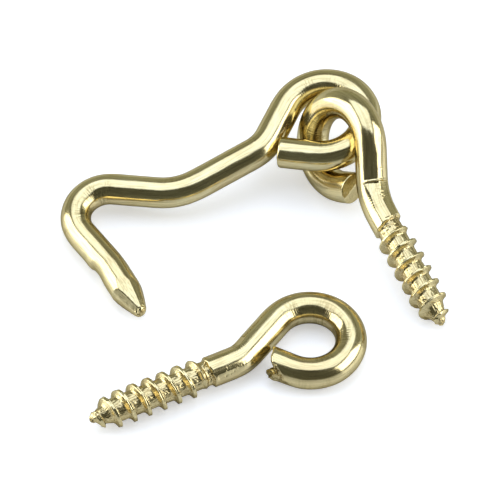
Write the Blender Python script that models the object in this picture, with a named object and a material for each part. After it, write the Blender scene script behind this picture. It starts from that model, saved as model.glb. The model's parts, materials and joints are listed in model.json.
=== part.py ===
"""Wire hook and eye: a bent-wire hook hung in a screw eye, and a second, loose screw eye.

The set lies on the ground plane z = 0. Every piece is one length of round wire, so each is
described by the moves of its centreline: straights and bends, followed like a bending plan.
"""
import math

import bmesh
import bpy
from mathutils import Matrix, Vector

MM = 0.001

# Wire
EYE_WIRE_R = 1.70 * MM           # screw eyes: 3.4 mm wire
HOOK_WIRE_R = 1.65 * MM          # hook: 3.3 mm wire
TUBE_SIDES_RESOLUTION = 6        # 16 sides round the wire
BEND_STEP = math.radians(11)     # centreline step in a bend

# Wood-screw thread, rolled on both eyes
THREAD_PITCH = 1.74 * MM
CORE_R = 1.38 * MM
CREST_R = 1.93 * MM
CREST_SHARE = 0.42               # share of the pitch that the ridge takes
POINT_LENGTH = 3.6 * MM          # tapered gimlet point
POINT_END_R = 0.18 * MM
RIDGE_START = 2.05 * MM          # plain core under the shoulder, where the wood ends
RIDGE_FADE = 0.9 * MM            # the ridge then grows to its full height
THREAD_EMBED = 0.7 * MM          # how far the core reaches into the shank
THREAD_SIDES = 20
STATIONS_PER_PITCH = 8

# Hinge screw eye: moves from the shoulder to the cut end
HINGE_RING_R = 4.48 * MM
HINGE_MOVES = (
    ("straight", 1.34 * MM),
    ("bend", 6.28 * MM, 38.0),
    ("straight", 3.28 * MM),
    ("bend", HINGE_RING_R, -268.7),
    ("straight", 1.49 * MM),
)
HINGE_CENTRE = Vector((9.31, 12.46, 5.60)) * MM
HINGE_HEADING = 117.0            # screw points away from this heading, seen from above
HINGE_RISE = 11.0                # ring end higher than the point
HINGE_ROLL = 119.4               # ring leans about the screw's axis
HINGE_THREAD_LENGTH = 12.9 * MM  # shoulder to point
HINGE_THREAD_START = 0.617       # share of a pitch by which the ridge starts early

# Catch screw eye
CATCH_RING_R = 4.35 * MM
CATCH_MOVES = (
    ("straight", 3.10 * MM),
    ("bend", 3.78 * MM, 27.8),
    ("straight", 5.28 * MM),
    ("bend", CATCH_RING_R, -260.6),
    ("straight", 2.05 * MM),
)
CATCH_CENTRE = Vector((5.91, -10.50, 1.77)) * MM
CATCH_HEADING = 26.9
CATCH_RISE = -0.8                # lies on its thread's crests and its ring
CATCH_ROLL = 0.0
CATCH_THREAD_LENGTH = 13.8 * MM
CATCH_THREAD_START = 0.62

# Hook: moves from the cut end, round the loop, along the shank and down to the point
LOOP_R = 4.485 * MM
LOOP_TURN = 255.4
HOOK_MOVES = (
    ("straight", 4.0 * MM),
    ("bend", LOOP_R, LOOP_TURN),
    ("straight", 4.07 * MM),
    ("bend", 4.36 * MM, -35.1),
    ("straight", 6.85 * MM),
    ("bend", 6.46 * MM, -38.9),
    ("straight", 4.82 * MM),
    ("bend", 3.40 * MM, 135.6),
    ("straight", 4.99 * MM),
    ("bend", 5.27 * MM, -9.3),
    ("straight", 6.46 * MM),
)
SHANK_MOVE = 4                   # the move that lies along the hook's own +X
LOOP_CENTRE = Vector((7.48, 15.62, 5.77)) * MM
HOOK_HEADING = -150.7
HOOK_RISE = -8.0
HOOK_ROLL = -1.8
FACET_TURNS = (5, 51, 98, 145, 192, 238, 284, 325)     # ground sides of the point, round the wire
FACET_SLOPES = (
    (math.radians(17), 0.62 * MM),            # slope of the sides, and their half width at the end
    (math.radians(50), 0.30 * MM),            # the blunted end
)
CUTTER_SIZE = 12 * MM

# Finish
BRASS_COLOUR = (0.80, 0.66, 0.34)
BRASS_ROUGHNESS = 0.16


def start_scene():
    """Remove what is in the scene, and make one collection for parts and one for cutters."""
    for old in list(bpy.data.objects):
        bpy.data.objects.remove(old, do_unlink=True)
    groups = []
    for name in ("wire_hook_and_eye", "cutters"):
        group = bpy.data.collections.new(name)
        bpy.context.scene.collection.children.link(group)
        groups.append(group)
    return groups


def brass(name):
    """A polished brass finish."""
    material = bpy.data.materials.new(name)
    material.use_nodes = True
    shader = material.node_tree.nodes["Principled BSDF"]
    shader.inputs["Base Color"].default_value = (*BRASS_COLOUR, 1.0)
    shader.inputs["Metallic"].default_value = 1.0
    shader.inputs["Roughness"].default_value = BRASS_ROUGHNESS
    return material


def trace(moves):
    """Follow the bending plan in a plane: its points, its bend centres and its headings."""
    here = Vector((0.0, 0.0, 0.0))
    heading = 0.0
    points = [here.copy()]
    centres = []
    headings = []
    for move in moves:
        forward = Vector((math.cos(heading), math.sin(heading), 0.0))
        headings.append(heading)
        if move[0] == "straight":
            here = here + forward * move[1]
            points.append(here.copy())
            centres.append(None)
            continue
        radius = move[1]
        turn = math.radians(move[2])
        side = math.copysign(1.0, turn)
        centre = here + Vector((-forward.y, forward.x, 0.0)) * radius * side
        steps = max(2, math.ceil(abs(turn) / BEND_STEP))
        for index in range(1, steps + 1):
            angle = heading + turn * index / steps
            outward = Vector((math.sin(angle), -math.cos(angle), 0.0)) * side
            points.append(centre + outward * radius)
        here = points[-1]
        heading += turn
        centres.append(centre)
    return points, centres, headings


def pose(centre, heading, rise, roll):
    """World placement: turned to a heading, raised at the ring end, rolled on its own X."""
    turn = Matrix.Rotation(math.radians(heading), 4, "Z")
    lift = Matrix.Rotation(-math.radians(rise), 4, "Y")
    lean = Matrix.Rotation(math.radians(roll), 4, "X")
    return Matrix.Translation(centre) @ turn @ lift @ lean


def wire(name, points, radius, group, material):
    """A round wire with flat cut ends, as one closed mesh."""
    curve = bpy.data.curves.new(name + "_path", "CURVE")
    curve.dimensions = "3D"
    curve.bevel_depth = radius
    curve.bevel_resolution = TUBE_SIDES_RESOLUTION
    curve.use_fill_caps = True
    spline = curve.splines.new("POLY")
    spline.points.add(len(points) - 1)
    for knot, point in zip(spline.points, points):
        knot.co = (*point, 1.0)
    guide = bpy.data.objects.new(name + "_path", curve)
    group.objects.link(guide)
    depsgraph = bpy.context.evaluated_depsgraph_get()
    mesh = bpy.data.meshes.new_from_object(guide.evaluated_get(depsgraph))
    bpy.data.objects.remove(guide, do_unlink=True)
    bm = bmesh.new()
    bm.from_mesh(mesh)
    bmesh.ops.remove_doubles(bm, verts=bm.verts, dist=0.00001)
    bmesh.ops.recalc_face_normals(bm, faces=bm.faces)
    bm.to_mesh(mesh)
    bm.free()
    piece = bpy.data.objects.new(name, mesh)
    piece.data.materials.clear()
    piece.data.materials.append(material)
    group.objects.link(piece)
    return piece


def thread_radius(depth, angle, length, start):
    """Distance from the screw's axis, at a depth below the shoulder and an angle round it."""
    to_point = max(0.0, min(1.0, (length - depth) / POINT_LENGTH))
    taper = math.sin(to_point * math.pi / 2) ** 0.8
    core = POINT_END_R + (CORE_R - POINT_END_R) * taper
    grown = max(0.0, min(1.0, (depth - RIDGE_START) / RIDGE_FADE))
    height = (CREST_R - CORE_R) * grown * min(1.0, 0.15 + taper)
    if depth >= length:
        height = 0.0
    phase = (depth / THREAD_PITCH + angle / (2 * math.pi) + start) % 1.0
    across = abs(phase - 0.5) / (CREST_SHARE / 2)
    ridge = 0.0 if across >= 1 else 0.5 + 0.5 * math.cos(math.pi * across)
    return core + height * min(1.0, ridge * 1.6)


def thread(name, origin, length, start, group):
    """The screw along the path's own -X, from inside the shank to the gimlet point."""
    step = THREAD_PITCH / STATIONS_PER_PITCH
    count = round(length / step)
    depths = [-THREAD_EMBED, 0.0]
    depths += [length * (index + 1) / count for index in range(count)]
    bm = bmesh.new()
    rings = []
    for depth in depths:
        ring = []
        for side in range(THREAD_SIDES):
            angle = 2 * math.pi * side / THREAD_SIDES
            radius = thread_radius(depth, angle, length, start) if depth > 0 else CORE_R
            spot = (-depth, radius * math.cos(angle), radius * math.sin(angle))
            ring.append(bm.verts.new(origin + Vector(spot)))
        rings.append(ring)
    for ring, after in zip(rings, rings[1:]):
        for side in range(THREAD_SIDES):
            other = (side + 1) % THREAD_SIDES
            bm.faces.new((ring[side], ring[other], after[other], after[side]))
    bm.faces.new(rings[0])
    bm.faces.new(rings[-1])
    bmesh.ops.recalc_face_normals(bm, faces=bm.faces)
    mesh = bpy.data.meshes.new(name)
    bm.to_mesh(mesh)
    bm.free()
    piece = bpy.data.objects.new(name, mesh)
    hide_cutter(piece, group)
    return piece


def hide_cutter(piece, group):
    """Cutters and tools are kept out of sight, in their own collection."""
    group.objects.link(piece)
    piece.hide_render = True
    piece.display_type = "WIRE"


def combine(piece, cutter, operation):
    """Join or cut with the exact solver."""
    modifier = piece.modifiers.new(operation.lower() + "_" + cutter.name, "BOOLEAN")
    modifier.operation = operation
    modifier.solver = "EXACT"
    modifier.object = cutter


def ring_centre(moves, centres):
    """Centre of the bend that turns the most."""
    turns = [abs(move[2]) if move[0] == "bend" else 0.0 for move in moves]
    return centres[turns.index(max(turns))]


def finish_shading(piece):
    piece.data.shade_smooth()
    piece.data.set_sharp_from_angle(angle=math.radians(35))


def screw_eye(name, moves, screw, placement, groups, material):
    """A ring of wire on a threaded shank."""
    parts, tools = groups
    points, centres, _ = trace(moves)
    middle = ring_centre(moves, centres)
    points = [point - middle for point in points]
    piece = wire(name, points, EYE_WIRE_R, parts, material)
    length, start = screw
    core = thread(name + "_thread", points[0], length, start, tools)
    finish_shading(piece)
    piece.matrix_world = placement
    core.matrix_world = placement
    combine(piece, core, "UNION")
    return piece


def wire_hook(name, placement, groups, material):
    """The hook: its loop's centre is its origin, and its shank lies along its own +X."""
    parts, tools = groups
    points, centres, headings = trace(HOOK_MOVES)
    middle = ring_centre(HOOK_MOVES, centres)
    straighten = Matrix.Rotation(-headings[SHANK_MOVE], 4, "Z")
    points = [straighten @ (point - middle) for point in points]
    piece = wire(name, points, HOOK_WIRE_R, parts, material)
    finish_shading(piece)
    piece.matrix_world = placement
    tip = points[-1]
    ahead = (points[-1] - points[-2]).normalized()
    tip_frame = Matrix.Translation(tip) @ ahead.to_track_quat("X", "Z").to_matrix().to_4x4()
    for angle, half_width in FACET_SLOPES:
        for turned in FACET_TURNS:
            bpy.ops.mesh.primitive_cube_add(size=CUTTER_SIZE)
            cutter = bpy.context.object
            cutter.name = "point_cutter_%d_%d" % (round(math.degrees(angle)), turned)
            bpy.context.collection.objects.unlink(cutter)
            hide_cutter(cutter, tools)
            turn = Matrix.Rotation(math.radians(turned), 4, "X")
            raise_up = Matrix.Translation((0.0, 0.0, half_width))
            slope = Matrix.Rotation(angle, 4, "Y")
            rest = Matrix.Translation((0.0, 0.0, CUTTER_SIZE / 2))
            cutter.matrix_world = placement @ tip_frame @ turn @ raise_up @ slope @ rest
            combine(piece, cutter, "DIFFERENCE")
    return piece


def main():
    groups = start_scene()
    hinge_brass = brass("hinge_screw_eye_brass")
    hook_brass = brass("hook_brass")
    catch_brass = brass("catch_screw_eye_brass")
    hinge_pose = pose(HINGE_CENTRE, HINGE_HEADING, HINGE_RISE, HINGE_ROLL)
    hinge_thread = (HINGE_THREAD_LENGTH, HINGE_THREAD_START)
    screw_eye("hinge_screw_eye", HINGE_MOVES, hinge_thread, hinge_pose, groups, hinge_brass)
    hook_pose = pose(LOOP_CENTRE, HOOK_HEADING, HOOK_RISE, HOOK_ROLL)
    wire_hook("hook", hook_pose, groups, hook_brass)
    catch_pose = pose(CATCH_CENTRE, CATCH_HEADING, CATCH_RISE, CATCH_ROLL)
    catch_thread = (CATCH_THREAD_LENGTH, CATCH_THREAD_START)
    screw_eye("catch_screw_eye", CATCH_MOVES, catch_thread, catch_pose, groups, catch_brass)


main()
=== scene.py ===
"""Looks of the wire hook and eye: three polished brass wires on a pale floor.

Each wire is one closed loft. It follows the same bending plan as its CAD node, drawn finely enough
for the marks that wire forming leaves: jaw flats, bend ripples, cut ends and a rolled thread.

On a wire, a place is its length from the start, which is the shoulder of a screw eye or the cut
end of the hook's loop. A turn goes round the wire from its own left towards its own up.
"""
import json
import math

import bpy
import numpy as np
from mathutils import Matrix, Vector


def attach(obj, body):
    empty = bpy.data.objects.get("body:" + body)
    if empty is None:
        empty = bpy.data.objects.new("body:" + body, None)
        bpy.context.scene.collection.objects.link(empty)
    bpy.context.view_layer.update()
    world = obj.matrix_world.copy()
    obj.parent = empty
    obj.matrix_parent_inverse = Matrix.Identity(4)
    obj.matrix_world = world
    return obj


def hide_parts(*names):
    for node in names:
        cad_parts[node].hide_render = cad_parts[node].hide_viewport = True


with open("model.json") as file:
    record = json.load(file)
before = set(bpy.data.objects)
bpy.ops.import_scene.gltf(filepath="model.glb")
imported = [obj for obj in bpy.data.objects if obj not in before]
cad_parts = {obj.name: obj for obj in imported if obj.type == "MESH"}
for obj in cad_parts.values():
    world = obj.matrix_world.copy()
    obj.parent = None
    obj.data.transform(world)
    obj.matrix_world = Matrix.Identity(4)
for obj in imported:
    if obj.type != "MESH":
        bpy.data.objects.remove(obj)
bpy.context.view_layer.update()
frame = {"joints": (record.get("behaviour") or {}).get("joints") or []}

MM = 0.001

# Wire, as in the CAD: a straight by its length, a bend by its radius and its angle in degrees
EYE_WIRE_R = 1.70 * MM
HOOK_WIRE_R = 1.65 * MM
HINGE_MOVES = (
    ("straight", 1.34 * MM),
    ("bend", 6.28 * MM, 38.0),
    ("straight", 3.28 * MM),
    ("bend", 4.48 * MM, -268.7),
    ("straight", 1.49 * MM),
)
CATCH_MOVES = (
    ("straight", 3.10 * MM),
    ("bend", 3.78 * MM, 27.8),
    ("straight", 5.28 * MM),
    ("bend", 4.35 * MM, -260.6),
    ("straight", 2.05 * MM),
)
HOOK_MOVES = (
    ("straight", 4.0 * MM),
    ("bend", 4.485 * MM, 255.4),
    ("straight", 4.07 * MM),
    ("bend", 4.36 * MM, -35.1),
    ("straight", 6.85 * MM),
    ("bend", 6.46 * MM, -38.9),
    ("straight", 4.82 * MM),
    ("bend", 3.40 * MM, 135.6),
    ("straight", 4.99 * MM),
    ("bend", 5.27 * MM, -9.3),
    ("straight", 6.46 * MM),
)
SHANK_MOVE = 4                       # the hook's shank lies along its own +X

# Places: the centre of each ring, and its heading, rise and roll in degrees. The hook's loop has its
# centre on the joint.
HINGE_PLACE = (Vector((9.31, 12.46, 5.60)) * MM, 117.0, 11.0, 119.4)
CATCH_PLACE = (Vector((5.91, -10.50, 1.77)) * MM, 26.9, -0.8, 0.0)
HOOK_TURN = (-150.7, -8.0, -1.8)

# Random unevenness: wavelengths along the wire, least and most lobes round it, and number of waves
# where it isn't the usual one
LONG_WAVES = ((3.5 * MM, 14 * MM), (0, 3))
SHORT_WAVES = ((1.2 * MM, 4 * MM), (2, 9))
WOBBLE_WAVES = ((1.0 * MM, 4 * MM), (1, 5))
PATCH_WAVES = ((1.5 * MM, 5 * MM), (1, 4))
WANDER_WAVES = ((3 * MM, 9 * MM), (0, 3))
SERRATION_WAVES = ((0.9 * MM, 4 * MM), (18, 34), 40)
ROUGH_WAVES = ((0.25 * MM, 1.6 * MM), (3, 22), 60)
DENT_WAVES = ((0.8 * MM, 4 * MM), (1, 7))
CHIP_WAVES = ((0.5 * MM, 2.5 * MM), (2, 9))
PIT_WAVES = ((0.3 * MM, 1.2 * MM), (1, 6))
TORN_START_WAVES = ((0.3 * MM, 1.4 * MM), (2, 9))
TEAR_WAVES = ((0.3 * MM, 1.3 * MM), (2, 8))
GROUND_WAVES = ((0.5 * MM, 3 * MM), (1, 6))
WRINKLE_WAVES = ((0.2 * MM, 0.8 * MM), (2, 9))
SHOULDER_LOBES = (2, 14)
LIP_LOBES = (4, 18)
UNEVEN_SPREAD = 1.6                  # brings the sum of the waves to about -1 to 1

# Drawn wire: how uneven it is, and what the bending pins do to it
WAVE = 0.006 * MM
FINE_WAVE = 0.0016 * MM
SHARP_BEND = 0.23 / MM               # a bend this tight gets the full marks
SHARPEST = 1.3
FLATTENED = 0.035 * MM               # on the outside of a bend
BULGED = 0.01 * MM
RIPPLE = 0.009 * MM
RIPPLE_SPACING = 0.31 * MM
RIPPLE_WOBBLE = 1.4                  # radians
OUTER_MARKS = 0.4                    # share of the marks on the outside of a bend
INNER_SIDE = 0.35                    # how far round the wire the marks reach, as cosines
OUTER_SIDE = 0.2

# Thread: its length, the share of a turn by which its ridge is shifted, where the shoulder lies and
# how that slants round the wire, how torn the first turn is, and the crest's share of the pitch
HINGE_THREAD = {"length": 12.9 * MM, "start": 0.617, "shoulder": -0.25 * MM,
                "slant": 0.45 * MM, "slant_turn": math.radians(40), "torn_start": 0.03 * MM,
                "crest": 0.12}
CATCH_THREAD = {"length": 13.8 * MM, "start": 0.62, "shoulder": 0.10 * MM,
                "slant": 0.12 * MM, "slant_turn": math.radians(250), "torn_start": 0.07 * MM,
                "crest": 0.18}
THREAD_PITCH = 1.74 * MM
CORE_R = 1.36 * MM
CREST_R = 1.96 * MM
POINT_LENGTH = 3.6 * MM
POINT_END_R = 0.18 * MM
POINT_ROUND = 0.8                    # exponent of the point's profile: below 1 is fuller
SHANK_FLANK = 0.12                   # shares of the pitch
POINT_FLANK = 0.30
FLANK_CURVE = 2.6                    # the flank on the point's side is hollow, to this share
FLANK_HOLLOW = 0.75
THREAD_WANDER = 0.015                # of a turn
SEAM_PLACE = 0.01                    # rolling leaves a fold along the middle of the crest
SEAM_WIDTH = 0.05
SEAM_DEPTH = 0.022 * MM
RIDGE_START = 0.35 * MM              # below the shoulder
RIDGE_FADE = 1.3 * MM
RIDGE_END = 0.8 * MM                 # before the point
LEAST_RIDGE = 0.22                   # share of its height that is left where the point starts
SERRATION = 0.012 * MM
THREAD_ROUGH = 0.014 * MM
THREAD_DENTS = 0.012 * MM
CREST_CHIPS = 0.10                   # share of the ridge's height
POINT_PITS = 0.09 * MM
POINT_PIT_LENGTH = 0.9 * MM
TORN_LENGTH = 1.1 * MM
LEAST_R = 0.05 * MM
SHOULDER_RAGGED = 0.07 * MM
SHOULDER_STEP = 0.22 * MM

# Hook point: ground flats, as the turn of each one's face, its length, how deep it starts, how far
# from the axis it would end, and how strongly it is curved along the wire
POINT_FLATS = (
    (95, 4.5 * MM, 0.04 * MM, 0.55 * MM, 1.35),
    (141, 3.6 * MM, 0.05 * MM, 0.30 * MM, 1.0),
    (155, 3.55 * MM, 0.05 * MM, 0.32 * MM, 1.0),
    (170, 3.5 * MM, 0.05 * MM, 0.35 * MM, 1.0),
    (188, 3.5 * MM, 0.05 * MM, 0.42 * MM, 1.1),
    (235, 3.4 * MM, 0.08 * MM, 0.55 * MM, 1.35),
    (282, 3.6 * MM, 0.08 * MM, 0.55 * MM, 1.35),
    (328, 3.9 * MM, 0.08 * MM, 0.55 * MM, 1.35),
    (14, 3.8 * MM, 0.02 * MM, 0.55 * MM, 1.35),
    (55, 4.0 * MM, 0.02 * MM, 0.55 * MM, 1.35),
)
FLAT_START_LENGTH = 0.14 * MM        # a flat cuts in over this length, from this far outside
FLAT_START_OUT = 0.2 * MM
FLAT_REACH = 0.05                    # least cosine between a direction and a flat that limits it
BEYOND_WIRE = 9.0                    # a limit that never cuts
GROUND_WAVE = 0.006 * MM
GROUND_DULLNESS = 0.30
GROUND_EDGE = 0.02 * MM
NOSE_LENGTH = 0.5 * MM
NOSE_LEAST = 0.1
NOSE_WRINKLE = 0.03 * MM
POINT_LEAN = 0.14 * MM               # the point's middle is off the wire's axis
POINT_LEAN_TURN = math.radians(13)
POINT_LEAN_LENGTH = 5.5 * MM

# Marks left by the forming tools
CUT_DULLNESS = 0.4
CUT_ROLL = 0.16 * MM
NIPPED_ROLL = 0.06 * MM
ROLL_REACH = 1.75                    # length of a rolled edge, in times its depth
CUT_BLEND = 2.4 * MM                 # a slanted cut draws the skin over this length
PRESS_TURN = math.radians(186)
PRESS_START = 58.9 * MM
PRESS_END = 62.5 * MM
PRESS_DEPTH = 0.15 * MM
PRESS_HALF_WIDTH = 0.85              # radians
PRESS_STEP = 0.42 * MM
PRESS_SWELL = 0.05 * MM              # metal pushed up before the dent, and where
PRESS_SWELL_BACK = 0.55 * MM
PRESS_SWELL_LENGTH = 0.9 * MM
# Jaw flats: facing turn in degrees, depth, start, end, how much the end slants for each radian
# round the wire, and how much deeper the flat gets towards its end
HINGE_FLATS = (
    (327, 0.09 * MM, 0.15 * MM, 5.16 * MM, 0.20 * MM, 0.33 * MM),
    (6, 0.13 * MM, 0.15 * MM, 5.14 * MM, -0.12 * MM, 0.20 * MM),
)
CATCH_FLATS = (
    (48, 0.12 * MM, 0.5 * MM, 5.75 * MM, 0.0, -0.06 * MM),
    (160, 0.05 * MM, 0.5 * MM, 3.6 * MM, 0.5 * MM, 0.0),
)
BITE_LENGTH = 2.4 * MM
FLAT_SPREAD = 0.2                    # least cosine between a direction and a jaw flat
BURR_SHARE = 0.20                    # of the bite and of a share of the depth
BURR_DEPTH_SHARE = 0.3
BURR_OFFSET = 0.15 * MM
BURR_WIDTH = 0.17 * MM
BURR_EDGE = 0.06 * MM
LIP_RAGGED = 0.05 * MM
LIP_STEP = 0.10 * MM
JAW_STEP = 0.3 * MM
DENT_EDGE = 0.3                      # its raised edge, as a share of the depth
# Small dents: place along the wire, turn in degrees, half length, half width in degrees, depth
CATCH_DENTS = (
    (1.42 * MM, 158, 0.16 * MM, 9, 0.035 * MM),
    (1.62 * MM, 152, 0.10 * MM, 14, 0.030 * MM),
    (1.98 * MM, 155, 0.12 * MM, 10, 0.040 * MM),
    (2.42 * MM, 151, 0.20 * MM, 7, 0.035 * MM),
    (2.62 * MM, 157, 0.10 * MM, 9, 0.030 * MM),
    (2.90 * MM, 150, 0.12 * MM, 8, 0.025 * MM),
    (3.35 * MM, 147, 0.10 * MM, 6, 0.020 * MM),
)
HINGE_DENTS = (
    (3.15 * MM, 345, 0.14 * MM, 9, 0.030 * MM),
    (3.62 * MM, 352, 0.22 * MM, 7, 0.030 * MM),
    (2.95 * MM, 352, 0.12 * MM, 8, 0.035 * MM),
    (6.60 * MM, 352, 0.10 * MM, 6, 0.020 * MM),
)
# Where the torn end of the catch's ring is bent outwards: turn, half width in degrees, height, length
CATCH_TAB = (338, 50, 0.30 * MM, 1.0 * MM)
TAB_CURVE = 1.5
# Skin torn off beside that tab: the turn and length where it starts, its growth per degree, and
# how far round it reaches
CATCH_TEAR = (56, 0.6 * MM, 0.026 * MM, 105)
TEAR_DEPTH = 0.24 * MM
TEAR_EDGE = 0.35 * MM
TEAR_ROUGH = 0.35                    # share of the depth
TEAR_FIRST_BLEND = 0.12              # radians, at the first edge and at the last
TEAR_LAST_BLEND = 0.3
TEAR_DULLING = 3.0
# The catch's cut face, as east, north, size and height: a lobe, a rough notch and the tab
CATCH_SLOPE = -0.62
CATCH_LOBE = (0.5 * MM, 1.2 * MM, 0.85 * MM, 0.50 * MM)
CATCH_NOTCH = (0.6 * MM, 0.15 * MM, 0.38 * MM, -0.35 * MM)
CATCH_TONGUE = (1.15 * MM, -0.55 * MM, 0.72 * MM, 0.85 * MM)
CATCH_TORN = 0.15 * MM
# Where that face is torn: east of a line, and less so north of another, each with its blend
CATCH_TORN_EAST = (-0.6 * MM, 0.8 * MM)
CATCH_TORN_NORTH = (0.75 * MM, 0.6 * MM)
CATCH_TORN_LEAST = 0.12
# The hinge's cut face: one bevel's slopes, and how much steeper it gets past a slanted edge
HINGE_BEVEL = (-0.209, 0.136)
HINGE_EDGE = (0.644, 0.765, 0.21 * MM)
HINGE_SECOND_BEVEL = -0.40
HINGE_CUT_OUT = 0.53 * MM
HINGE_TORN = 0.010 * MM
# The hook's cut face: how it rolls over below
HOOK_ROLL_START = 0.3 * MM
HOOK_ROLL_CURVE = 0.30 / MM
HOOK_TORN = 0.02 * MM
TORN_WAVES = 14
TORN_WAVELENGTHS = (0.35, 1.6)       # mm
TORN_SPREAD = 3.7                    # brings the sum of the waves to about -1 to 1

# First numbers of the random draws; each piece uses the next few dozen
HINGE_SEED = 100
CATCH_SEED = 200
HOOK_SEED = 400
HINGE_CUT_SEED = 31
CATCH_CUT_SEED = 32
HOOK_CUT_SEED = 33
LIP_SEED = 77

# Mesh density
SIDES = 96
ANGLES = np.arange(SIDES) * 2 * math.pi / SIDES
LINE_STEP = 0.02 * MM
WIRE_STEP = 0.10 * MM
THREAD_STEP = 0.045 * MM
TIP_STEP = 0.05 * MM
THREAD_RUN_OUT = 1.0 * MM            # the thread's step carries on this far past the shoulder
NECK_END = 7.0 * MM                  # the finely stepped stretch with the jaw marks ends here
CUT_STRETCH = 2.0 * MM
LOOP_END_STRETCH = 1.0 * MM
TIP_STRETCH = 8.5 * MM
BEND_EASE = 0.9 * MM                 # a bend starts and ends over this length
CAP_RINGS = 12

# Brass
BRASS = ((0.30, (0.74, 0.60, 0.31)), (0.50, (0.80, 0.67, 0.35)), (0.72, (0.84, 0.73, 0.41)))
STREAK_SHADE = ((0.35, (0.78, 0.76, 0.70)), (0.62, (1, 1, 1)))
HAIRLINE_SHADE = ((0.36, (0.62, 0.60, 0.55)), (0.56, (1, 1, 1)))
TICK_SHADE = ((0.40, (0.58, 0.55, 0.48)), (0.54, (1, 1, 1)))
GRAIN_SHADE = ((0.3, (0.80, 0.72, 0.60)), (0.62, (1, 1, 1)))
# Grime, and painted shade in the valleys of the serration bump: darkens the duller metal
GRIME_AND_PAINTED_SHADE = ((0.36, (0.40, 0.34, 0.22)), (0.48, (1, 1, 1)))
EDGE_TINT = (0.60, 0.55, 0.42, 1.0)
BUMP_HEIGHT = 0.0045 * MM
# Noise patterns: scale, the share of it along the wire and across it (a small share stretches the
# pattern that way), detail, and offset
PATTERNS = {
    "tint": (260.0, (1.0, 1.0, 1.0), 4.0, 0.0),
    "streaks": (2600.0, (0.03, 1.0, 1.0), 5.0, 3.1),
    "grain": (5200.0, (1.0, 1.0, 1.0), 6.0, 5.3),
    "hairlines": (7000.0, (0.08, 1.0, 1.0), 4.0, 7.7),
    "ticks": (6000.0, (1.0, 0.14, 0.14), 3.0, 12.3),
    "serration": (6000.0, (0.08, 1.0, 1.0), 1.0, 9.9),
}
# How strongly each pattern darkens the metal, roughens it, and stands out from it
STREAK_DARKENING = 0.45
HAIRLINE_DARKENING = 0.55
GRAIN_DARKENING = 0.8
# Strength of the grime and the painted shade in the serration valleys
GRIME_AND_PAINTED_SHADE_DARKENING = 0.6
LEAST_ROUGHNESS = 0.05
STREAK_ROUGHNESS = 0.16
TINT_ROUGHNESS = 0.05
CUT_ROUGHNESS = 0.10
GRAIN_HEIGHT = 1.2
SERRATION_HEIGHT = 7.0
HAIRLINE_HEIGHT = 0.5
TICK_HEIGHT = 3.0

# Studio
FLOOR_SHADE = 0.74
FLOOR_MOTTLE = 0.01
FLOOR_MOTTLE_SCALE = 40.0
FLOOR_GLOW = 0.46
FLOOR_ROUGHNESS = 0.28
FLOOR_SIZE = 4.0
VIEW_ELEVATION = math.radians(53)
VIEW_TARGET = Vector((-0.39, 1.23, 2.0)) * MM
VIEW_WIDTH = 52.8 * MM
LENS = 1000.0
SENSOR = 36.0
VIEW_NEAREST = 0.01
VIEW_FARTHEST = 10.0
# Softboxes: centre, size across and along, the point that each one faces, radiance, and tint
SOFTBOXES = {
    "top": ((0.0, 0.165, 0.6), (0.78, 0.69), (0.0, 0.165, 0.0), 2.0, (0.70, 0.79, 1.0)),
    "left": ((-0.8, 0.04, 0.48), (0.76, 0.94), (0.0, 0.04, 0.48), 3.3, (0.90, 0.94, 1.0)),
    "right": ((0.8, -0.13, 0.53), (0.85, 0.84), (0.0, -0.13, 0.53), 3.3, (0.90, 0.94, 1.0)),
}
# The room's brightness from the floor in front (0) over the ceiling (0.5) to the floor behind (1)
ROOM_LEVELS = (
    (0.0, 0.15), (0.12, 0.10), (0.42, 0.09), (0.5, 0.12), (0.72, 0.22), (0.86, 0.32), (1.0, 0.42),
)
ROOM_TINT = (0.97, 1.04, 0.88)


# ---------------------------------------------------------------- geometry

def smoothstep(value):
    """0 below 0, 1 above 1, and smooth between."""
    value = np.clip(value, 0.0, 1.0)
    return value * value * (3 - 2 * value)


def bump_at(value, middle, width):
    """1 at the middle, falling smoothly to 0 at a width to each side."""
    return smoothstep(1 - np.abs(value - middle) / width)


def round_gap(angle, middle):
    """Angle from the middle, between -pi and pi."""
    return (angle - middle + math.pi) % (2 * math.pi) - math.pi


def unevenness(along, angle, seed, lengths, lobes, waves=24):
    """A smooth random field on the wire, about -1 to 1, that closes on itself round the wire."""
    draw = np.random.default_rng(seed)
    total = np.zeros(np.broadcast(along, angle).shape)
    for _ in range(waves):
        wave = 2 * math.pi / draw.uniform(*lengths)
        count = draw.integers(lobes[0], lobes[1] + 1)
        shift = draw.uniform(0, 2 * math.pi)
        side = draw.choice((-1, 1))
        total += np.cos(wave * along + side * count * angle + shift)
    return total / math.sqrt(waves / 2) / UNEVEN_SPREAD


def edge_raggedness(angle, seed, lobes):
    """Unevenness round the wire only, the same all along it."""
    any_lengths = (1.0, 2.0)
    return unevenness(0.0 * angle, angle, seed, any_lengths, lobes)


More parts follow.
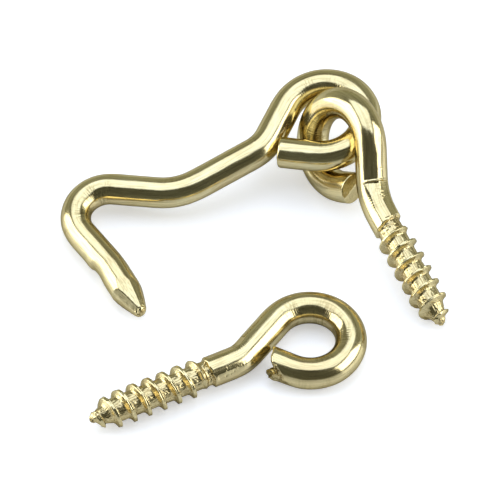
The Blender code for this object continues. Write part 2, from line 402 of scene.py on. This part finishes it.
class Centreline:
    """The bending plan as a finely stepped line in a plane, eased into and out of each bend."""

    def __init__(self, moves, step):
        knots, headings = [0.0], [0.0]
        for move in moves:
            bent = move[0] == "bend"
            length = move[1] * math.radians(abs(move[2])) if bent else move[1]
            knots.append(knots[-1] + length)
            headings.append(headings[-1] + (math.radians(move[2]) if bent else 0.0))
        self.knots = knots
        self.headings = headings
        self.length = knots[-1]
        fine = np.arange(0.0, self.length + step / 2, step)
        self.fine = np.append(fine[:-1], self.length)
        middles = (self.fine[1:] + self.fine[:-1]) / 2
        steps = np.diff(self.fine)
        heading = self.heading(middles)
        east = np.append(0.0, np.cumsum(steps * np.cos(heading)))
        north = np.append(0.0, np.cumsum(steps * np.sin(heading)))
        self.line = np.column_stack([east, north, np.zeros(len(east))])

    def heading(self, along):
        """Direction in the plane, averaged over BEND_EASE."""
        offsets = np.linspace(-0.5, 0.5, 11) * BEND_EASE
        return np.interp(along[:, None] + offsets, self.knots, self.headings).mean(axis=1)

    def curvature(self, along):
        """Turn per length, positive where the wire bends towards its own left."""
        small = 0.05 * MM
        return (self.heading(along + small) - self.heading(along - small)) / (2 * small)

    def sharpness(self, along):
        """How tight the bend is, with 1 at SHARP_BEND."""
        return np.clip(np.abs(self.curvature(along)) / SHARP_BEND, 0.0, SHARPEST)

    def at(self, along):
        """Points, sideways directions and forward directions, also before the start."""
        inside = np.clip(along, 0.0, self.length)
        points = np.column_stack([np.interp(inside, self.fine, self.line[:, k]) for k in range(3)])
        heading = self.heading(inside)
        forward = np.column_stack([np.cos(heading), np.sin(heading), np.zeros(len(heading))])
        sideways = np.column_stack([-forward[:, 1], forward[:, 0], np.zeros(len(heading))])
        points += forward * (along - inside)[:, None]
        return points, sideways, forward

    def ring_centre(self):
        """Centre of the bend that turns the most."""
        turns = np.abs(np.diff(self.headings))
        index = int(np.argmax(turns))
        middle = np.array([(self.knots[index] + self.knots[index + 1]) / 2])
        point, sideways, _ = self.at(middle)
        bend = self.curvature(middle)[0]
        return point[0] + sideways[0] / bend


def placement(centre, heading, rise, roll):
    """Puts a piece's own origin at the centre, turned by angles in degrees."""
    turn = Matrix.Rotation(math.radians(heading), 4, "Z")
    lift = Matrix.Rotation(-math.radians(rise), 4, "Y")
    lean = Matrix.Rotation(math.radians(roll), 4, "X")
    return Matrix.Translation(centre) @ turn @ lift @ lean


def loft(name, line, along, radii, shift, masks, matrix, material):
    """A closed skin through one ring of points for each place along the line."""
    points, sideways, forward = line.at(along)
    upward = np.array([0.0, 0.0, 1.0])
    across = sideways[:, None, :] * np.cos(ANGLES)[None, :, None]
    across = across + upward * np.sin(ANGLES)[None, :, None]
    skin = points[:, None, :] + across * radii[:, :, None] + forward[:, None, :] * shift[:, :, None]
    rings, sides = radii.shape
    first = skin[0].mean(axis=0)
    last = skin[-1].mean(axis=0)
    vertices = np.vstack([skin.reshape(-1, 3), first, last])
    grid = np.arange(rings * sides).reshape(rings, sides)
    here = grid[:-1]
    after = grid[1:]
    quads = np.stack([here, np.roll(here, -1, axis=1), np.roll(after, -1, axis=1), after], axis=-1)
    faces = quads.reshape(-1, 4).tolist()
    start = rings * sides
    for side in range(sides):
        other = (side + 1) % sides
        faces.append((start, int(grid[0, other]), int(grid[0, side])))
        faces.append((start + 1, int(grid[-1, side]), int(grid[-1, other])))
    mesh = bpy.data.meshes.new(name)
    mesh.from_pydata((vertices - line.ring_centre()).tolist(), [], faces)
    mesh.update()
    straight = np.stack([
        along[:, None] + shift,
        radii * np.cos(ANGLES),
        radii * np.sin(ANGLES),
    ], axis=-1).reshape(-1, 3)
    ends = [[along[0], 0.0, 0.0], [along[-1], 0.0, 0.0]]
    layer = mesh.attributes.new("drawn", "FLOAT_VECTOR", "POINT")
    layer.data.foreach_set("vector", np.vstack([straight, ends]).astype(np.float32).ravel())
    for label, field in masks.items():
        layer = mesh.attributes.new(label, "FLOAT", "POINT")
        values = np.append(field.reshape(-1), [field[0].mean(), field[-1].mean()])
        layer.data.foreach_set("value", values.astype(np.float32))
    mesh.transform(matrix)
    mesh.materials.append(material)
    mesh.shade_smooth()
    piece = bpy.data.objects.new(name, mesh)
    bpy.context.scene.collection.objects.link(piece)
    return piece


def stations(*stretches):
    """Places along a wire: (start, end, step) stretches, end to end."""
    runs = []
    for start, end, step in stretches:
        count = max(1, round((end - start) / step))
        runs.append(np.linspace(start, end, count + 1)[:-1])
    return np.append(np.concatenate(runs), stretches[-1][1])


# ---------------------------------------------------------------- wire surface

def drawn_surface(along, angle, line, radius, seed):
    """Radius of a drawn and bent wire: slight waviness, flattened bends, and the pins' ripples."""
    inner = np.sign(line.curvature(along[:, 0]))[:, None] * np.cos(angle)
    sharp = line.sharpness(along[:, 0])[:, None]
    wavy = unevenness(along, angle, seed, *LONG_WAVES) * WAVE
    fine = unevenness(along, angle, seed + 1, *SHORT_WAVES) * FINE_WAVE
    flattened = -FLATTENED * sharp * np.clip(-inner, 0, 1) ** 2
    bulged = BULGED * sharp * np.cos(2 * angle - math.pi)
    wobble = unevenness(along, angle, seed + 3, *WOBBLE_WAVES) * RIPPLE_WOBBLE
    ripple = np.sin(2 * math.pi * along / RIPPLE_SPACING + wobble)
    ripple = ripple * RIPPLE * bend_marks(along, angle, line, seed)
    return radius + wavy + fine + flattened + bulged + ripple


def bend_marks(along, angle, line, seed):
    """Where the bending pins have scuffed the wire: patches inside and outside the sharp bends."""
    inner = np.sign(line.curvature(along[:, 0]))[:, None] * np.cos(angle)
    sharp = line.sharpness(along[:, 0])[:, None]
    patch = 0.5 + 0.5 * unevenness(along, angle, seed + 2, *PATCH_WAVES)
    sides = smoothstep(inner + INNER_SIDE) + OUTER_MARKS * smoothstep(-inner - OUTER_SIDE)
    return np.clip(sharp ** 2 * sides * np.clip(patch, 0, 1), 0, 1)


def thread_ridge(depth, angle, screw, seed, grown, taper):
    """Shape of the thread's ridge, from 0 at the root to 1 on the crest, and the fold along it."""
    wander = unevenness(depth, angle, seed, *WANDER_WAVES) * THREAD_WANDER
    phase = (depth / THREAD_PITCH + angle / (2 * math.pi) + screw["start"] + wander) % 1.0 - 0.5
    flank = np.where(phase < 0, SHANK_FLANK, POINT_FLANK)
    rise = np.clip(1 - (np.abs(phase) - screw["crest"] / 2) / flank, 0, 1)
    hollow = FLANK_HOLLOW * rise ** FLANK_CURVE + (1 - FLANK_HOLLOW) * smoothstep(rise)
    ridge = np.where(phase < 0, smoothstep(rise), hollow)
    return ridge, SEAM_DEPTH * bump_at(phase, SEAM_PLACE, SEAM_WIDTH) * grown * taper


def thread_surface(depth, angle, screw, seed):
    """Radius of the rolled thread at a depth below the shoulder, and how much of it is ridge."""
    left = screw["length"] - depth
    below = depth + screw["shoulder"]
    taper = np.sin(np.clip(left / POINT_LENGTH, 0.0, 1.0) * math.pi / 2) ** POINT_ROUND
    core = POINT_END_R + (CORE_R - POINT_END_R) * taper
    grown = smoothstep((below - RIDGE_START) / RIDGE_FADE)
    height = (CREST_R - CORE_R) * grown * np.minimum(1.0, LEAST_RIDGE + taper)
    height = height * smoothstep(left / RIDGE_END)
    ridge, seam = thread_ridge(depth, angle, screw, seed, grown, taper)
    serrated = unevenness(depth, angle, seed + 1, *SERRATION_WAVES) * SERRATION
    rough = unevenness(depth, angle, seed + 4, *ROUGH_WAVES) * THREAD_ROUGH
    dents = unevenness(depth, angle, seed + 2, *DENT_WAVES) * THREAD_DENTS
    chips = np.clip(unevenness(depth, angle, seed + 3, *CHIP_WAVES), 0, 1)
    pits = unevenness(depth, angle, seed + 5, *PIT_WAVES) * POINT_PITS
    torn = unevenness(depth, angle, seed + 6, *TORN_START_WAVES) * screw["torn_start"]
    surface = core + height * ridge * (1 - CREST_CHIPS * chips)
    surface = surface + (serrated + rough) * (1 - ridge) ** 2 + dents - seam
    surface = surface + pits * smoothstep(1.2 - left / POINT_PIT_LENGTH)
    surface = surface + torn * smoothstep(1.3 - below / TORN_LENGTH)
    return np.maximum(surface, LEAST_R), ridge * grown


# ---------------------------------------------------------------- pieces

def screw_eye(name, moves, screw, seed, place, material, marks):
    """One wire from the gimlet point through the thread, the shank and the ring to the cut end."""
    line = Centreline(moves, LINE_STEP)
    along = stations(
        (-screw["length"], THREAD_RUN_OUT, THREAD_STEP),
        (THREAD_RUN_OUT, NECK_END, TIP_STEP),
        (NECK_END, line.length - CUT_STRETCH, WIRE_STEP),
        (line.length - CUT_STRETCH, line.length, TIP_STEP),
    )
    spot, turn = np.meshgrid(along, ANGLES, indexing="ij")
    wire = drawn_surface(spot, turn, line, EYE_WIRE_R, seed)
    for flat in marks["flats"]:
        wire = pressed(spot, turn, wire, *flat)
    for dent in marks["dents"]:
        wire = dented(spot, turn, wire, *dent)
    back = line.length - spot
    wire = rounded_end(back, wire, marks["roll"])
    tear = np.zeros_like(spot)
    if marks["tab"]:
        wire = bent_out(back, turn, wire, *marks["tab"])
        tear = torn_skin(back, turn, *marks["tear"])
        torn = 1 + TEAR_ROUGH * unevenness(spot, turn, seed + 30, *TEAR_WAVES)
        wire = wire - TEAR_DEPTH * tear * torn
    thread, ridge = thread_surface(-spot, turn, screw, seed + 10)
    ragged = edge_raggedness(turn, seed + 20, SHOULDER_LOBES) * SHOULDER_RAGGED
    rim = screw["shoulder"] + screw["slant"] * np.cos(turn - screw["slant_turn"]) + ragged
    on_wire = smoothstep((spot - rim) / SHOULDER_STEP + 0.5)
    radii = thread * (1 - on_wire) + wire * on_wire
    # The duller, rougher metal: on the thread it is strongest in the roots, so the brass's grime and
    # painted shade gather there
    masks = {
        "rough_metal": np.maximum((1 - on_wire) * (1 - ridge) ** 0.5, smoothstep(tear * TEAR_DULLING)),
        "bend_marks": on_wire * bend_marks(spot, turn, line, seed),
    }
    return finish_wire(name, line, along, radii, masks, place, material, None, marks["cut"])


def pressed(spot, turn, radii, facing, depth, start, end, slant, bite):
    """A flat left by the gripping jaws, whose corner bites deeper where it ends in a small burr."""
    gap = round_gap(turn, math.radians(facing))
    limit = end + slant * gap + edge_raggedness(turn, LIP_SEED, LIP_LOBES) * LIP_RAGGED
    deeper = bite * np.clip(1 - (limit - spot) / BITE_LENGTH, 0, 1) ** 2
    plane = (EYE_WIRE_R - depth - deeper) / np.maximum(np.cos(gap), FLAT_SPREAD)
    inside = smoothstep((limit - spot) / LIP_STEP + 0.5) * smoothstep((spot - start) / JAW_STEP + 0.5)
    cut = np.maximum(radii - plane, 0.0) * inside
    burr = bump_at(spot, limit + BURR_OFFSET, BURR_WIDTH) * smoothstep((radii - plane) / BURR_EDGE)
    return radii - cut + burr * BURR_SHARE * (BURR_DEPTH_SHARE * depth + bite)


def dented(spot, turn, radii, middle, facing, half_length, half_width, depth):
    """A small dent with a raised edge."""
    gap = round_gap(turn, math.radians(facing)) / math.radians(half_width)
    distance = np.hypot((spot - middle) / half_length, gap)
    pit = smoothstep(1.15 - distance)
    edge = bump_at(distance, 1.35, 0.5)
    return radii - depth * pit + DENT_EDGE * depth * edge


def bent_out(back, turn, radii, facing, half_width, height, length):
    """A torn lip at the cut end, bent away from the wire."""
    share = bump_at(round_gap(turn, math.radians(facing)), 0.0, math.radians(half_width))
    return radii + height * share * np.clip(1 - back / length, 0, 1) ** TAB_CURVE


def torn_skin(back, turn, facing, start, growth, reach):
    """Share of the skin that is torn away: a band that widens with the turn below its first edge."""
    below = round_gap(math.radians(facing), turn)
    limit = start + growth * np.degrees(below)
    sides = smoothstep(below / TEAR_FIRST_BLEND)
    sides = sides * smoothstep((math.radians(reach) - below) / TEAR_LAST_BLEND)
    return smoothstep((limit - back) / TEAR_EDGE) * sides


def rounded_end(back, radii, roll):
    """The cut edge of the wire, slightly rolled over by the cutter."""
    reach = np.clip(back / (ROLL_REACH * roll), 0.0, 1.0)
    return radii - roll * (1 - np.sqrt(1 - (1 - reach) ** 2))


def finish_wire(name, line, along, radii, masks, place, material, start_face, end_face):
    """Closes both ends, each with a face of its own shape or a flat one, and lofts the wire."""
    fields = [radii, np.zeros_like(radii), masks["rough_metal"], masks["bend_marks"]]
    share = np.cos(np.linspace(0, math.pi / 2, CAP_RINGS + 1)[1:-1])[:, None]
    for at_start, face in ((True, start_face), (False, end_face)):
        rim = fields[0][0] if at_start else fields[0][-1]
        rings = rim[None, :] * share
        reach = along - along[0] if at_start else along[-1] - along
        if face:
            moved = face(rings * np.cos(ANGLES), rings * np.sin(ANGLES))
            edge = face(rim * np.cos(ANGLES), rim * np.sin(ANGLES))
            share_moved = np.clip(1 - reach / CUT_BLEND, 0, 1)[:, None]
            fields[1] += edge[None, :] * share_moved
        else:
            moved = np.zeros_like(rings)
        added = [rings, moved, np.full_like(rings, CUT_DULLNESS), np.zeros_like(rings)]
        end = along[0] if at_start else along[-1]
        if at_start:
            fields = [np.vstack([more[::-1], field]) for more, field in zip(added, fields)]
            along = np.append(np.full(len(rings), end), along)
        else:
            fields = [np.vstack([field, more]) for more, field in zip(added, fields)]
            along = np.append(along, np.full(len(rings), end))
    radii, shift, rough, marks = fields
    masks = {"rough_metal": rough, "bend_marks": marks}
    return loft(name, line, along, radii, shift, masks, place, material)


def uneven_plane(east, north, seed, size):
    """Torn metal on a cut face."""
    draw = np.random.default_rng(seed)
    total = np.zeros_like(east)
    for _ in range(TORN_WAVES):
        heading = draw.uniform(0, math.pi)
        wave = 2 * math.pi / (draw.uniform(*TORN_WAVELENGTHS) * MM)
        shift = draw.uniform(0, 2 * math.pi)
        total += np.cos(wave * (east * math.cos(heading) + north * math.sin(heading)) + shift)
    return total * size / TORN_SPREAD


def swelling(east, north, middle_east, middle_north, size, height):
    """A round rise, or a pit where the height is negative."""
    return height * np.exp(-((east - middle_east) ** 2 + (north - middle_north) ** 2) / size ** 2)


def hinge_cut(east, north):
    """Nipped off in two bevels that meet along a slanted edge."""
    past = HINGE_EDGE[0] * east + HINGE_EDGE[1] * north + HINGE_EDGE[2]
    bevels = HINGE_BEVEL[0] * east + HINGE_BEVEL[1] * north + HINGE_SECOND_BEVEL * np.maximum(past, 0)
    return HINGE_CUT_OUT + bevels + uneven_plane(east, north, HINGE_CUT_SEED, HINGE_TORN)


def catch_cut(east, north):
    """Torn off aslant: a rounded lobe above, a rough notch, and a bent-out tab below."""
    tab_east, tab_north, tab_size, tab_height = CATCH_TONGUE
    out = np.hypot(east - tab_east, north - tab_north) / tab_size
    tab = tab_height * smoothstep(1.45 - out)
    torn = uneven_plane(east, north, CATCH_CUT_SEED, CATCH_TORN)
    torn = torn * smoothstep((east - CATCH_TORN_EAST[0]) / CATCH_TORN_EAST[1])
    south = smoothstep((CATCH_TORN_NORTH[0] - north) / CATCH_TORN_NORTH[1])
    torn = torn * (CATCH_TORN_LEAST + (1 - CATCH_TORN_LEAST) * south)
    lobe = swelling(east, north, *CATCH_LOBE)
    notch = swelling(east, north, *CATCH_NOTCH)
    return CATCH_SLOPE * east + lobe + tab + notch + torn


def hook_cut(east, north):
    """Sheared nearly square, and rolled over on its lower side."""
    lower = np.maximum(-north - HOOK_ROLL_START, 0)
    return HOOK_ROLL_CURVE * lower ** 2 + uneven_plane(east, north, HOOK_CUT_SEED, HOOK_TORN)


def point_limits(turn, back):
    """Distance from the axis to the hook point's ground flats and its blunt nose."""
    limits = np.full(turn.shape, BEYOND_WIRE)
    lean = POINT_LEAN * np.clip(1 - back / POINT_LEAN_LENGTH, 0, 1)
    for facing, length, depth, end, curve in POINT_FLATS:
        facing = math.radians(facing)
        reach = np.clip(back / length, 0, 1)
        half = end + (HOOK_WIRE_R - depth - end) * (1 - (1 - reach) ** curve)
        half = half + lean * math.cos(facing - POINT_LEAN_TURN)
        ahead = np.cos(round_gap(turn, facing))
        begun = smoothstep((length - back) / FLAT_START_LENGTH + 0.5)
        plane = half / np.maximum(ahead, FLAT_REACH) + (1 - begun) * FLAT_START_OUT
        limits = np.where((ahead > FLAT_REACH) & (begun > 0), np.minimum(limits, plane), limits)
    nose = np.sqrt(1 - (1 - np.clip(back / NOSE_LENGTH, 0, 1)) ** 2)
    return limits * np.maximum(nose, NOSE_LEAST)


def wire_hook(name, place, material):
    """The hook, from the cut end of its loop to the ground point."""
    line = Centreline(HOOK_MOVES, LINE_STEP)
    along = stations(
        (0.0, LOOP_END_STRETCH, TIP_STEP),
        (LOOP_END_STRETCH, line.length - TIP_STRETCH, WIRE_STEP),
        (line.length - TIP_STRETCH, line.length, TIP_STEP),
    )
    spot, turn = np.meshgrid(along, ANGLES, indexing="ij")
    radii = drawn_surface(spot, turn, line, HOOK_WIRE_R, HOOK_SEED)
    radii = radii - press_mark(spot, turn)
    radii = rounded_end(spot, radii, CUT_ROLL)
    back = line.length - spot
    lean = POINT_LEAN * np.clip(1 - back / POINT_LEAN_LENGTH, 0, 1)
    radii = radii + lean * np.cos(turn - POINT_LEAN_TURN)
    wave = unevenness(spot, turn, HOOK_SEED + 30, *GROUND_WAVES) * GROUND_WAVE
    wrinkle = unevenness(spot, turn, HOOK_SEED + 31, *WRINKLE_WAVES) * NOSE_WRINKLE
    limits = point_limits(turn, back) + wave + wrinkle * smoothstep(1.8 - back / NOSE_LENGTH)
    ground = smoothstep((radii - limits) / GROUND_EDGE)
    radii = np.maximum(np.minimum(radii, limits), LEAST_R)
    blunted = smoothstep(1.2 - back / NOSE_LENGTH)
    masks = {
        "rough_metal": np.maximum(GROUND_DULLNESS * ground, blunted),
        "bend_marks": bend_marks(spot, turn, line, HOOK_SEED),
    }
    return finish_wire(name, line, along, radii, masks, place, material, hook_cut, None)


def press_mark(spot, turn):
    """A stop's dent on the outer side of the tip leg: sharp at its start, fading towards the point."""
    side = smoothstep(1.25 - np.abs(round_gap(turn, PRESS_TURN)) / PRESS_HALF_WIDTH)
    started = smoothstep((spot - PRESS_START) / PRESS_STEP + 0.5)
    fading = smoothstep((PRESS_END - spot) / (PRESS_END - PRESS_START))
    swell = bump_at(spot, PRESS_START - PRESS_SWELL_BACK, PRESS_SWELL_LENGTH) * side * PRESS_SWELL
    return PRESS_DEPTH * side * started * fading - swell


# ---------------------------------------------------------------- material

def brass(name, seed):
    """Polished brass: drawn streaks along the wire, and duller metal where it is cut or rolled, with
    grime and painted shade darkening the valleys of its fine serration.

    The patterns lie in the wire's own straightened space, which the lofts store as "drawn".
    """
    material = bpy.data.materials.new(name)
    material.use_nodes = True
    nodes = material.node_tree.nodes
    links = material.node_tree.links
    shader = nodes["Principled BSDF"]
    shader.inputs["Metallic"].default_value = 1.0

    def feed(socket, value):
        """Links another node's output, or sets a number or colour."""
        if hasattr(value, "links"):
            links.new(value, socket)
        else:
            socket.default_value = value

    def attribute(label):
        node = nodes.new("ShaderNodeAttribute")
        node.attribute_name = label
        return node

    def pattern(label, vector):
        scale, shares, detail, offset = PATTERNS[label]
        offset = offset + seed
        mapping = nodes.new("ShaderNodeMapping")
        mapping.inputs["Scale"].default_value = shares
        mapping.inputs["Location"].default_value = (offset, offset * 0.7, offset * 0.3)
        links.new(vector, mapping.inputs["Vector"])
        node = nodes.new("ShaderNodeTexNoise")
        node.inputs["Scale"].default_value = scale
        node.inputs["Detail"].default_value = detail
        links.new(mapping.outputs["Vector"], node.inputs["Vector"])
        return node.outputs["Fac"]

    def ramp(value, stops):
        node = nodes.new("ShaderNodeValToRGB")
        while len(node.color_ramp.elements) > len(stops):
            node.color_ramp.elements.remove(node.color_ramp.elements[-1])
        while len(node.color_ramp.elements) < len(stops):
            node.color_ramp.elements.new(1.0)
        for element, (position, colour) in zip(node.color_ramp.elements, stops):
            element.position = position
            element.color = (*colour, 1.0)
        links.new(value, node.inputs["Fac"])
        return node.outputs["Color"]

    def mix(kind, amount, first, second):
        node = nodes.new("ShaderNodeMix")
        node.data_type = "RGBA"
        node.blend_type = kind
        feed(node.inputs[0], amount)
        feed(node.inputs[6], first)
        feed(node.inputs[7], second)
        return node.outputs[2]

    def maths(kind, *values):
        node = nodes.new("ShaderNodeMath")
        node.operation = kind
        for socket, value in zip(node.inputs, values):
            feed(socket, value)
        return node.outputs[0]

    drawn = attribute("drawn").outputs["Vector"]
    rough_metal = attribute("rough_metal").outputs["Fac"]
    marked = attribute("bend_marks").outputs["Fac"]
    tint = pattern("tint", drawn)
    streaks = pattern("streaks", drawn)
    grain = pattern("grain", drawn)
    hairlines = pattern("hairlines", drawn)
    ticks = pattern("ticks", drawn)
    serration = pattern("serration", drawn)

    base = ramp(tint, BRASS)
    base = mix("MULTIPLY", STREAK_DARKENING, base, ramp(streaks, STREAK_SHADE))
    base = mix("MULTIPLY", HAIRLINE_DARKENING, base, ramp(hairlines, HAIRLINE_SHADE))
    base = mix("MULTIPLY", marked, base, ramp(ticks, TICK_SHADE))
    dull_with_grime_and_shade = mix("MULTIPLY", GRAIN_DARKENING, base, ramp(grain, GRAIN_SHADE))
    # Grime and painted shade: darker in the valleys of the serration bump, on the duller metal, which
    # on the thread is strongest in the roots
    dull_with_grime_and_shade = mix("MULTIPLY", GRIME_AND_PAINTED_SHADE_DARKENING, dull_with_grime_and_shade, ramp(serration, GRIME_AND_PAINTED_SHADE))
    links.new(mix("MIX", rough_metal, base, dull_with_grime_and_shade), shader.inputs["Base Color"])

    roughness = maths("MULTIPLY_ADD", streaks, STREAK_ROUGHNESS, LEAST_ROUGHNESS)
    roughness = maths("MULTIPLY_ADD", tint, TINT_ROUGHNESS, roughness)
    roughness = maths("MULTIPLY_ADD", rough_metal, CUT_ROUGHNESS, roughness)
    links.new(roughness, shader.inputs["Roughness"])
    shader.inputs["Specular Tint"].default_value = EDGE_TINT

    height = maths("MULTIPLY_ADD", maths("MULTIPLY", grain, rough_metal), GRAIN_HEIGHT, streaks)
    height = maths("MULTIPLY_ADD", maths("MULTIPLY", serration, rough_metal), SERRATION_HEIGHT, height)
    height = maths("MULTIPLY_ADD", hairlines, HAIRLINE_HEIGHT, height)
    height = maths("MULTIPLY_ADD", maths("MULTIPLY", ticks, marked), TICK_HEIGHT, height)
    bump = nodes.new("ShaderNodeBump")
    bump.inputs["Strength"].default_value = 1.0
    bump.inputs["Distance"].default_value = BUMP_HEIGHT
    links.new(height, bump.inputs["Height"])
    links.new(bump.outputs["Normal"], shader.inputs["Normal"])
    return material


def floor_material():
    """A pale, semi-gloss sheet. Only camera rays see its glow, so that it doesn't light the metal."""
    material = bpy.data.materials.new("pale_floor")
    material.use_nodes = True
    nodes = material.node_tree.nodes
    links = material.node_tree.links
    shader = nodes["Principled BSDF"]
    shader.inputs["Roughness"].default_value = FLOOR_ROUGHNESS
    shader.inputs["Specular IOR Level"].default_value = 0.5
    shader.inputs["Emission Color"].default_value = (1.0, 1.0, 1.0, 1.0)
    noise = nodes.new("ShaderNodeTexNoise")
    noise.inputs["Scale"].default_value = FLOOR_MOTTLE_SCALE
    ramp = nodes.new("ShaderNodeValToRGB")
    ramp.color_ramp.elements[0].color = (*(FLOOR_SHADE - FLOOR_MOTTLE,) * 3, 1)
    ramp.color_ramp.elements[1].color = (*(FLOOR_SHADE + FLOOR_MOTTLE,) * 3, 1)
    links.new(noise.outputs["Fac"], ramp.inputs["Fac"])
    links.new(ramp.outputs["Color"], shader.inputs["Base Color"])
    path = nodes.new("ShaderNodeLightPath")
    glow = nodes.new("ShaderNodeMath")
    glow.operation = "MULTIPLY"
    glow.inputs[1].default_value = FLOOR_GLOW
    links.new(path.outputs["Is Camera Ray"], glow.inputs[0])
    links.new(glow.outputs[0], shader.inputs["Emission Strength"])
    return material


# ---------------------------------------------------------------- studio

def make_camera():
    """Looks down on the set from the front, from so far away that there is hardly any perspective."""
    data = bpy.data.cameras.new("camera")
    data.lens = LENS
    data.sensor_width = SENSOR
    data.clip_start = VIEW_NEAREST
    data.clip_end = VIEW_FARTHEST
    camera = bpy.data.objects.new("camera", data)
    bpy.context.scene.collection.objects.link(camera)
    distance = LENS / SENSOR * VIEW_WIDTH
    towards = Vector((0.0, -math.cos(VIEW_ELEVATION), math.sin(VIEW_ELEVATION)))
    camera.location = VIEW_TARGET + towards * distance
    camera.rotation_euler = (math.pi / 2 - VIEW_ELEVATION, 0.0, 0.0)
    bpy.context.scene.camera = camera


def make_floor():
    """The sheet that the set lies on."""
    bpy.ops.mesh.primitive_plane_add(size=FLOOR_SIZE, location=(0, 0, 0))
    floor = bpy.context.object
    floor.name = "floor"
    floor.data.materials.append(floor_material())


def make_softboxes():
    """Area lights whose power follows from their radiance and size."""
    for name, (centre, size, facing, radiance, tint) in SOFTBOXES.items():
        data = bpy.data.lights.new(name + "_softbox", "AREA")
        data.shape = "RECTANGLE"
        data.size, data.size_y = size
        data.energy = radiance * math.pi * size[0] * size[1]
        data.color = tint
        light = bpy.data.objects.new(name + "_softbox", data)
        light.location = centre
        light.visible_camera = False
        towards = Vector(facing) - Vector(centre)
        light.rotation_euler = towards.to_track_quat("-Z", "Y").to_euler()
        bpy.context.scene.collection.objects.link(light)


def make_world():
    """A dim room: mid grey behind, dark in front."""
    world = bpy.data.worlds.new("studio")
    bpy.context.scene.world = world
    world.use_nodes = True
    nodes = world.node_tree.nodes
    links = world.node_tree.links
    background = nodes["Background"]
    where = nodes.new("ShaderNodeTexCoord")
    split = nodes.new("ShaderNodeSeparateXYZ")
    links.new(where.outputs["Generated"], split.inputs["Vector"])
    lean = nodes.new("ShaderNodeMath")
    lean.operation = "ARCTAN2"
    links.new(split.outputs["Y"], lean.inputs[0])
    links.new(split.outputs["Z"], lean.inputs[1])
    spread = nodes.new("ShaderNodeMapRange")
    spread.inputs["From Min"].default_value = -math.pi / 2
    spread.inputs["From Max"].default_value = math.pi / 2
    links.new(lean.outputs[0], spread.inputs["Value"])
    ramp = nodes.new("ShaderNodeValToRGB")
    while len(ramp.color_ramp.elements) < len(ROOM_LEVELS):
        ramp.color_ramp.elements.new(0.5)
    for element, (position, level) in zip(ramp.color_ramp.elements, ROOM_LEVELS):
        element.position = position
        element.color = (*(level * share for share in ROOM_TINT), 1.0)
    links.new(spread.outputs[0], ramp.inputs["Fac"])
    links.new(ramp.outputs["Color"], background.inputs["Color"])


# ---------------------------------------------------------------- make it all

def hook_placement():
    """The hook's loop lies round the joint, with its shank along its own +X."""
    swing = next(joint for joint in frame["joints"] if joint["name"] == "hook_swing")
    shank_heading = Centreline(HOOK_MOVES, LINE_STEP).headings[SHANK_MOVE]
    place = placement(Vector(swing["pos_m"]), *HOOK_TURN)
    return place @ Matrix.Rotation(-shank_heading, 4, "Z")


def main():
    """Makes the studio and the three wires, and hangs each wire on its body."""
    bpy.context.scene.view_settings.view_transform = "Standard"
    make_camera()
    make_floor()
    make_softboxes()
    make_world()

    hinge_marks = {"flats": HINGE_FLATS, "dents": HINGE_DENTS, "tab": None, "tear": None,
                   "cut": hinge_cut, "roll": NIPPED_ROLL}
    catch_marks = {"flats": CATCH_FLATS, "dents": CATCH_DENTS, "tab": CATCH_TAB, "tear": CATCH_TEAR,
                   "cut": catch_cut, "roll": CUT_ROLL}
    hinge = screw_eye("hinge_eye_wire", HINGE_MOVES, HINGE_THREAD, HINGE_SEED, placement(*HINGE_PLACE),
                      brass("hinge_eye_brass", 0.0), hinge_marks)
    catch = screw_eye("catch_eye_wire", CATCH_MOVES, CATCH_THREAD, CATCH_SEED, placement(*CATCH_PLACE),
                      brass("catch_eye_brass", 4.0), catch_marks)
    hook = wire_hook("hook_wire", hook_placement(), brass("hook_brass", 8.0))
    for piece, body in ((hinge, "hinge_screw_eye"), (catch, "catch_screw_eye"), (hook, "hook")):
        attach(piece, body)
        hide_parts(body)


main()
